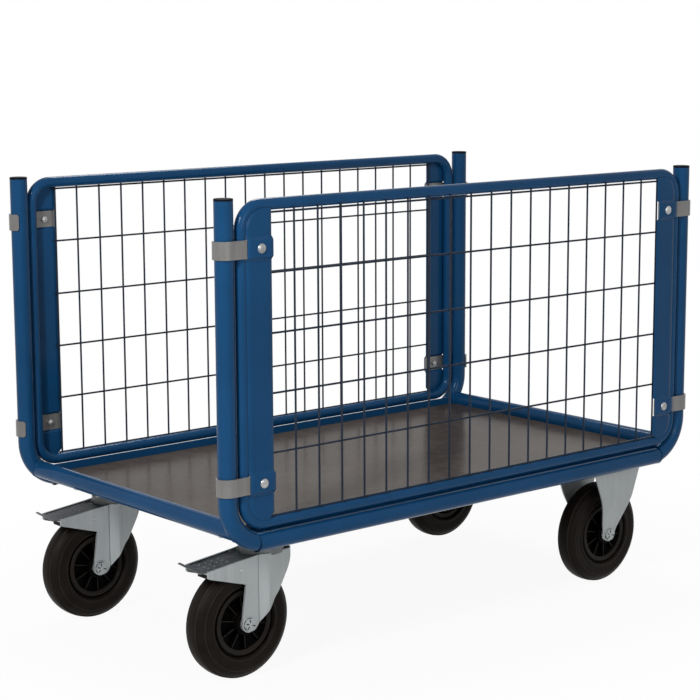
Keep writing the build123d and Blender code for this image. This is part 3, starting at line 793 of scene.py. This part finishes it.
def axle(name, body, node, centre):
    """Axle bolt with washers, a head and a nut; a dark ring at each washer and dark marks on each face are
    painted shade of the washer gap and the hex.
    """
    build = Build()
    washer = millimetres([(6.0, 0), (13.8, 0), (14.2, 0.3), (14.1, 1.1), (13.5, 1.5), (6.0, 1.5)])
    foot = millimetres([(11.0, 1.4), (12.0, 1.4), (12.0, 1.6), (11.0, 1.6)])
    build.rod(centre - LEG_OUT * ALONG_Y, centre + LEG_OUT * ALONG_Y, AXLE_R, sides=24)
    seats = [(face, centre + face * LEG_OUT * ALONG_Y) for face in (-1, 1)]
    for face, seat in seats:
        build.lathe(seat, face * ALONG_Y, washer, segments=40)
        build.hexagon(seat, face * ALONG_Y, AXLE_FLATS, AXLE_HEAD_T)
        build.rod(seat, seat + face * AXLE_TIP * ALONG_Y, AXLE_TIP_R, sides=16)
    # Faces from here on, the dark rings and marks, are painted shade
    bright = len(build.faces)
    for face, seat in seats:
        build.lathe(seat, face * ALONG_Y, foot, segments=40, closed=True)
        for turn in SHADE_MARK_TURNS:
            spin = Matrix.Rotation(tau * turn / 6, 3, "Y")
            build.ring_tube([
                [seat + spin @ Vector((x, face * level, z)) for x, z in SHADE_MARK_OUTLINE]
                for level in SHADE_MARK_LEVELS
            ])
    made = build.piece(name, ZINC, body, angle=25, other=SHADED_NYLON, other_from=bright)
    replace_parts(made, node)


def castor_bolts():
    """Bolts of all four castors: low heads in the channels, nuts and thread ends under the plates."""
    build = Build()
    for x in (-CASTOR_X, CASTOR_X):
        for y in (-CASTOR_Y, CASTOR_Y):
            for dx in (-BOLT_PITCH_X / 2, BOLT_PITCH_X / 2):
                for dy in (-BOLT_PITCH_Y / 2, BOLT_PITCH_Y / 2):
                    spot = Vector((x + dx, y + dy, 0))
                    build.hexagon(spot + CHANNEL_SEAT * UP, UP, BOLT_FLATS, BOLT_HEAD_T)
                    build.hexagon(spot + PLATE_LOW * UP, -UP, BOLT_FLATS, BOLT_NUT_T)
                    build.rod(spot + BOLT_END * UP, spot + CHANNEL_SEAT * UP, BOLT_R, sides=16)
    made = build.piece("castor_nuts_and_bolts", STEEL, "frame", angle=25)
    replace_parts(made, "castor_bolts")


def bracket_half(z):
    """Half width of a fixed bracket's leg: a rounded foot, then an even taper up to the plate."""
    if z < WHEEL_R:
        return BRACKET_FOOT_HALF * sqrt(1 - ((WHEEL_R - z) / (WHEEL_R - BRACKET_FOOT_LOW)) ** 2)
    return BRACKET_FOOT_HALF + BRACKET_TAPER * max(z - BRACKET_ANKLE, 0.0)


def fixed_bracket(side, sign):
    """Fixed castor's bracket: a plate and two tapered legs that swing in from its edges to the axle."""
    build = Build()
    centre = Vector((CASTOR_X, sign * CASTOR_Y, 0))
    drop = WHEEL_R - BRACKET_FOOT_LOW
    levels = [WHEEL_R - drop * cos(radians(turn)) for turn in BRACKET_FOOT_TURNS]
    levels += [WHEEL_R + (PLATE_LOW - WHEEL_R) * step / BRACKET_ROWS for step in range(BRACKET_ROWS + 1)]
    low, high = BRACKET_SWING
    for face in (-1, 1):
        rings = []
        for z in levels:
            half = bracket_half(z)
            ease = min(BRACKET_RIM, half / 2)
            out = LEG_OUT + (PLATE_HALF_Y - LEG_OUT) * smooth_step((z - low) / (high - low))
            back = out - BRACKET_SHEET
            corner = [(ease - half, out), (half - ease, out), (half, out - ease), (half, back + ease)]
            corner += [(half - ease, back), (ease - half, back), (-half, back + ease), (-half, out - ease)]
            rings.append([centre + Vector((x, face * y, z)) for x, y in corner])
        build.ring_tube(rings)
    rings = []
    middle = [(PLATE_LOW + BRACKET_RIM, 0), (PLATE_TOP - BRACKET_RIM, 0)]
    for z, inset in [(PLATE_LOW, 1)] + middle + [(PLATE_TOP, 1)]:
        ring = []
        for turn in range(4):
            for step in range(BRACKET_CORNER_STEPS + 1):
                a = turn * pi / 2 + step * pi / (2 * BRACKET_CORNER_STEPS)
                round_x = (PLATE_HALF_X - PLATE_CORNER) * (1 if turn in (0, 3) else -1)
                round_y = (PLATE_HALF_Y - PLATE_CORNER) * (1 if turn in (0, 1) else -1)
                reach = PLATE_CORNER - inset * BRACKET_RIM
                ring.append(centre + Vector((round_x + reach * cos(a), round_y + reach * sin(a), z)))
        rings.append(ring)
    build.ring_tube(rings)
    made = build.piece(f"pressed_bracket_{side}", ZINC, "frame", angle=40)
    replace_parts(made, f"fixed_bracket_{side}")


def ball_race(side, sign):
    """Pressed race: skirt, rolled bead and a narrow neck under the top plate."""
    build = Build()
    skirt = [(13.2, -8.8), (39.0, -8.8), (40.0, -8.0), (40.0, 5.6), (39.4, 7.2), (37.2, 8.8)]
    bead = [(36.4, 10.2), (37.6, 11.6), (38.2, 13.6), (37.6, 15.8)]
    neck = [(35.2, 18.8), (33.4, 20.8), (31.0, 21.5), (13.2, 21.5)]
    profile = millimetres(skirt + bead + neck)
    build.lathe((-CASTOR_X, sign * CASTOR_Y, FORK_TOP), UP, profile, segments=96, closed=True)
    # The race is in the darker zinc, painted shade under the frame
    made = build.piece(f"pressed_race_{side}", SHADED_ZINC, f"rear_{side}_swivel", angle=40)
    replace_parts(made, f"ball_race_{side}")


def pedal_tread(x):
    """Height of the pedal's top at a distance from the castor's turning axis."""
    return WING_ROOT_TOP + WING_SLOPE * (x - WING_ROOT) - PEDAL_DROP


def pedal_grip(side, sign):
    """Worn domed studs on the pedal, black strips along its sides as painted shadow of the gaps beside the
    tread, and a bare strip on its rear edge.
    """
    build = Build()
    swivel = Vector((-CASTOR_X, sign * CASTOR_Y, 0))
    dome = millimetres([(2.3, -0.3), (2.2, 0.1), (1.8, 0.5), (1.1, 0.75), (0.3, 0.85)])
    for row in range(STUD_ROWS):
        x = STUD_FIRST - STUD_PITCH * row
        for across in (-STUD_PITCH, 0.0, STUD_PITCH):
            build.lathe(swivel + Vector((x, across, pedal_tread(x))), UP, dome, segments=14, caps=True)
    # Faces from here on are the black strips, painted shadow beside the tread
    worn = len(build.faces)
    for edge in (-1, 1):
        build.ring_tube([
            [swivel + Vector((x, edge * y, pedal_tread(x) + z)) for y, z in PEDAL_SHADE_OUTLINE]
            for x in (PEDAL_REAR + PEDAL_SHADE_INSET, PEDAL_FRONT - PEDAL_SHADE_INSET)
        ])
    name, body = f"pedal_grip_{side}", f"rear_{side}_brake"
    build.piece(name, GALVANISED, body, angle=60, other=RUBBER_AND_SHADE, other_from=worn)
    low, high = pedal_tread(PEDAL_REAR) - EDGE_LOW, pedal_tread(PEDAL_REAR) - EDGE_HIGH
    strip = [(-EDGE_LOW_HALF, low), (EDGE_LOW_HALF, low), (EDGE_HIGH_HALF, high), (-EDGE_HIGH_HALF, high)]
    bare = Build()
    bare.slab(*[[swivel + Vector((PEDAL_REAR + out, y, z)) for y, z in strip] for out in EDGE_FACES])
    bare.piece(f"pedal_edge_{side}", STEEL, body, angle=60)


def fork_plan(x):
    """Half width of a fork along X: a crease, a raised fold and a rounded nose."""
    if x > NOSE_X:
        return FORK_HALF - NOSE_R + sqrt(max(NOSE_R ** 2 - (x - NOSE_X) ** 2, 0.0))
    for (x0, y0), (x1, y1) in zip(FORK_FOLD, FORK_FOLD[1:]):
        if x <= x1:
            return y0 + (y1 - y0) * (x - x0) / (x1 - x0)
    return FORK_HALF


def fork_reach(z):
    """Rear and front edge of a fork's leg and wing at a height."""
    round_off = sqrt(1 - (max(WHEEL_R - z, 0.0) / (WHEEL_R - FORK_FOOT_LOW)) ** 2)
    knee = max(z - KNEE[1], 0.0)
    front = KNEE[0] + SHIN_SLOPE * (min(z, KNEE[1]) - KNEE[1]) + NOSE_SLOPE * knee
    front = min(front, FORK_FRONT)
    if z < WHEEL_R:
        front = min(front, FORK_FOOT_FRONT * round_off - TRAIL)
        rear = -TRAIL - FORK_FOOT_REAR * round_off
    elif z < ARMPIT[1]:
        foot = -TRAIL - FORK_FOOT_REAR
        rear = foot + (ARMPIT[0] - foot) * (z - WHEEL_R) / (ARMPIT[1] - WHEEL_R)
    elif z < WING_TIP_LOW:
        span = WING_TIP + WING_CORNER - ARMPIT[0]
        rear = ARMPIT[0] + span * (z - ARMPIT[1]) / (WING_TIP_LOW - ARMPIT[1])
    else:
        below = max(WING_TIP_LOW + WING_CORNER - z, 0.0)
        corner = WING_CORNER - sqrt(max(WING_CORNER ** 2 - below ** 2, 0.0))
        rear = max(WING_TIP + corner, WING_ROOT + (z - WING_ROOT_TOP) / WING_SLOPE)
    return rear, front


def fork_levels():
    """Heights of a fork's rows, with one at each bend of its outline."""
    tip_top = WING_ROOT_TOP + WING_SLOPE * (WING_TIP - WING_ROOT)
    levels = [WHEEL_R - (WHEEL_R - FORK_FOOT_LOW) * cos(radians(turn)) for turn in FORK_FOOT_TURNS]
    bends = (WHEEL_R, ARMPIT[1], WING_TIP_LOW, tip_top, FORK_LEVEL)
    for low, high, count in zip(bends, bends[1:], FORK_ROWS):
        levels += [low + (high - low) * step / count for step in range(count)]
    return levels + [FORK_LEVEL]


def pressed_fork(side, sign):
    """Swivel fork: folded legs with wings beside the pedal, a crown in darker zinc as painted shade, and a
    closed nose.
    """
    build = Build()
    centre = Vector((-CASTOR_X, sign * CASTOR_Y, 0))
    nose = [NOSE_X + NOSE_R * sin(radians(turn)) for turn in NOSE_TURNS]
    inner = [x for x, _ in FORK_FOLD[1:-1]] + nose
    for face in (-1, 1):
        rings = []
        for z in fork_levels():
            rear, front = fork_reach(z)
            columns = [rear] + [min(max(x, rear), front) for x in inner] + [front]
            skin = [(x, fork_plan(x)) for x in columns]
            skin += [(x, fork_plan(x) - FORK_SHEET) for x in reversed(columns)]
            rings.append([centre + Vector((x, face * y, z)) for x, y in skin])
        build.ring_tube(rings)
    back = NOSE_TIP - FORK_SHEET
    front = [(back, -NOSE_FLAT), (NOSE_TIP, -NOSE_FLAT), (NOSE_TIP, NOSE_FLAT), (back, NOSE_FLAT)]
    build.slab(*[[centre + Vector((x, y, z)) for x, y in front] for z in (NOSE_SKIRT, NOSE_TOP)])
    # Faces from here on, the crown, are in the darker zinc as painted shade
    bright = len(build.faces)
    edge = [CROWN_REAR + (NOSE_X - CROWN_REAR) * step / CROWN_STEPS for step in range(CROWN_STEPS)] + nose
    outline = [(x, fork_plan(x) - FORK_SHEET / 2) for x in edge]
    outline += [(x, -y) for x, y in reversed(outline)]
    bore = [(CROWN_BORE * x / hypot(x, y), CROWN_BORE * y / hypot(x, y)) for x, y in outline]
    high = FORK_LEVEL - CROWN_DROP
    low = high - CROWN_T
    loops = ((outline, low), (outline, high), (bore, high), (bore, low))
    build.ring_tube([[centre + Vector((x, y, z)) for x, y in loop] for loop, z in loops], closed=True)
    name, body = f"pressed_fork_{side}", f"rear_{side}_swivel"
    made = build.piece(name, ZINC, body, angle=20, other=SHADED_ZINC, other_from=bright)
    round_edges(made, FORK_RIM)
    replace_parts(made, f"fork_{side}")


def castors():
    """All pieces of the four castors, each on the body that carries it."""
    castor_bolts()
    for side, sign in SIDES:
        rear = Vector((-CASTOR_X - TRAIL, sign * CASTOR_Y, WHEEL_R))
        front = Vector((CASTOR_X, sign * CASTOR_Y, WHEEL_R))
        for end, centre in (("rear", rear), ("front", front)):
            tyre(end, side, centre)
            rim(end, side, centre)
        axle(f"flanged_axle_rear_{side}", f"rear_{side}_swivel", f"swivel_axle_{side}", rear)
        axle(f"flanged_axle_front_{side}", "frame", f"fixed_axle_{side}", front)
        fixed_bracket(side, sign)
        ball_race(side, sign)
        pedal_grip(side, sign)
        pressed_fork(side, sign)


# Camera and studio

def camera():
    """Camera from its place, its turn and its focal length in pixels."""
    flat = cos(CAMERA_PITCH)
    forward = Vector((sin(CAMERA_YAW) * flat, cos(CAMERA_YAW) * flat, -sin(CAMERA_PITCH)))
    level = Vector((cos(CAMERA_YAW), -sin(CAMERA_YAW), 0))
    drop = forward.cross(level)
    right = level * cos(CAMERA_ROLL) + drop * sin(CAMERA_ROLL)
    up = level * sin(CAMERA_ROLL) - drop * cos(CAMERA_ROLL)
    data = bpy.data.cameras.new("camera")
    data.sensor_width = SENSOR
    data.lens = FOCAL_PIXELS / PICTURE_PIXELS * SENSOR
    made = bpy.data.objects.new("camera", data)
    turn = Matrix((right, up, -forward)).transposed().to_4x4()
    made.matrix_world = Matrix.Translation(CAMERA_PLACE) @ turn
    SCENE.collection.objects.link(made)
    SCENE.camera = made


def area_light(name, place, size, power):
    """A soft rectangular lamp that points at the middle of the trolley."""
    data = bpy.data.lights.new(name, "AREA")
    data.shape = "RECTANGLE"
    data.size, data.size_y = size
    data.energy = power
    made = bpy.data.objects.new(name, data)
    made.location = place
    made.rotation_euler = (LAMP_AIM - Vector(place)).to_track_quat("-Z", "Y").to_euler()
    SCENE.collection.objects.link(made)


def seen_directly(tree):
    """A factor that is 1 for rays that see the background: from the camera, in gloss and through glass."""
    path = tree.nodes.new("ShaderNodeLightPath")
    factor = path.outputs["Is Camera Ray"]
    for other in ("Is Glossy Ray", "Is Transmission Ray"):
        larger = tree.nodes.new("ShaderNodeMath")
        larger.operation = "MAXIMUM"
        tree.links.new(factor, larger.inputs[0])
        tree.links.new(path.outputs[other], larger.inputs[1])
        factor = larger.outputs[0]
    return factor


def mixed_shader(tree, factor, first, second):
    """Two shaders mixed by a factor."""
    mix = tree.nodes.new("ShaderNodeMixShader")
    for socket, value in enumerate((factor, first, second)):
        tree.links.new(value, mix.inputs[socket])
    return mix.outputs[0]


def white_world():
    """White where it is seen, and a soft level fill where it lights the object."""
    world = bpy.data.worlds.new("studio")
    world.use_nodes = True
    SCENE.world = world
    tree = world.node_tree
    tree.nodes.clear()
    shades = []
    for strength in (FILL_LIGHT, 1.0):
        shade = tree.nodes.new("ShaderNodeBackground")
        shade.inputs["Color"].default_value = (1, 1, 1, 1)
        shade.inputs["Strength"].default_value = strength
        shades.append(shade.outputs[0])
    output = tree.nodes.new("ShaderNodeOutputWorld")
    tree.links.new(mixed_shader(tree, seen_directly(tree), *shades), output.inputs["Surface"])


def paper_floor():
    """Pale paper that keeps the shadow near the object and clears to white further out."""
    low = CAD_BOX[0].z - FLOOR_GAP
    corners = [(FLOOR_REACH * x, FLOOR_REACH * y, low) for x, y in ((-1, -1), (1, -1), (1, 1), (-1, 1))]
    mesh = bpy.data.meshes.new("floor")
    mesh.from_pydata(corners, [], [(0, 1, 2, 3)])
    floor = bpy.data.objects.new("floor", mesh)
    SCENE.collection.objects.link(floor)
    made = Material("floor_paper")
    fibre = made.noise(300.0, detail=3.0)
    made.set(
        Base_Color=made.ramp(fibre, [(0.3, (0.88, 0.88, 0.88)), (0.7, (0.92, 0.92, 0.92))]),
        Roughness=0.9,
        Specular_IOR_Level=0.1,
    )
    spot = made.stretched(SHADOW_STRETCH)
    away = made.add("ShaderNodeVectorMath", {0: spot}, operation="LENGTH").outputs["Value"]
    clear = made.spread(away, PAPER_WHITE_NEAR, 1.0, SHADOW_NEAR, SHADOW_FAR)
    direct = seen_directly(made.tree)
    seen = made.add("ShaderNodeMath", {0: direct, 1: clear}, operation="MULTIPLY").outputs[0]
    white = made.add("ShaderNodeEmission", {"Color": (1, 1, 1, 1), "Strength": 1.0}).outputs[0]
    paper = mixed_shader(made.tree, seen, made.shader.outputs["BSDF"], white)
    made.tree.links.new(paper, made.output.inputs["Surface"])
    mesh.materials.append(made.data)


def studio():
    """White surroundings and soft lamps: the main one on the left, one behind, a weak one in front."""
    SCENE.view_settings.view_transform = "Standard"
    white_world()
    paper_floor()
    for lamp in LAMPS:
        area_light(*lamp)


camera()
studio()
dress_solids()
post_caps()
seams()
cross_rail_welds()
for side, sign in SIDES:
    mesh_panel(side, sign)
    strap_bolts(side, sign)
    for end, along in ENDS:
        pressed_plate(end, along, side, sign)
castors()
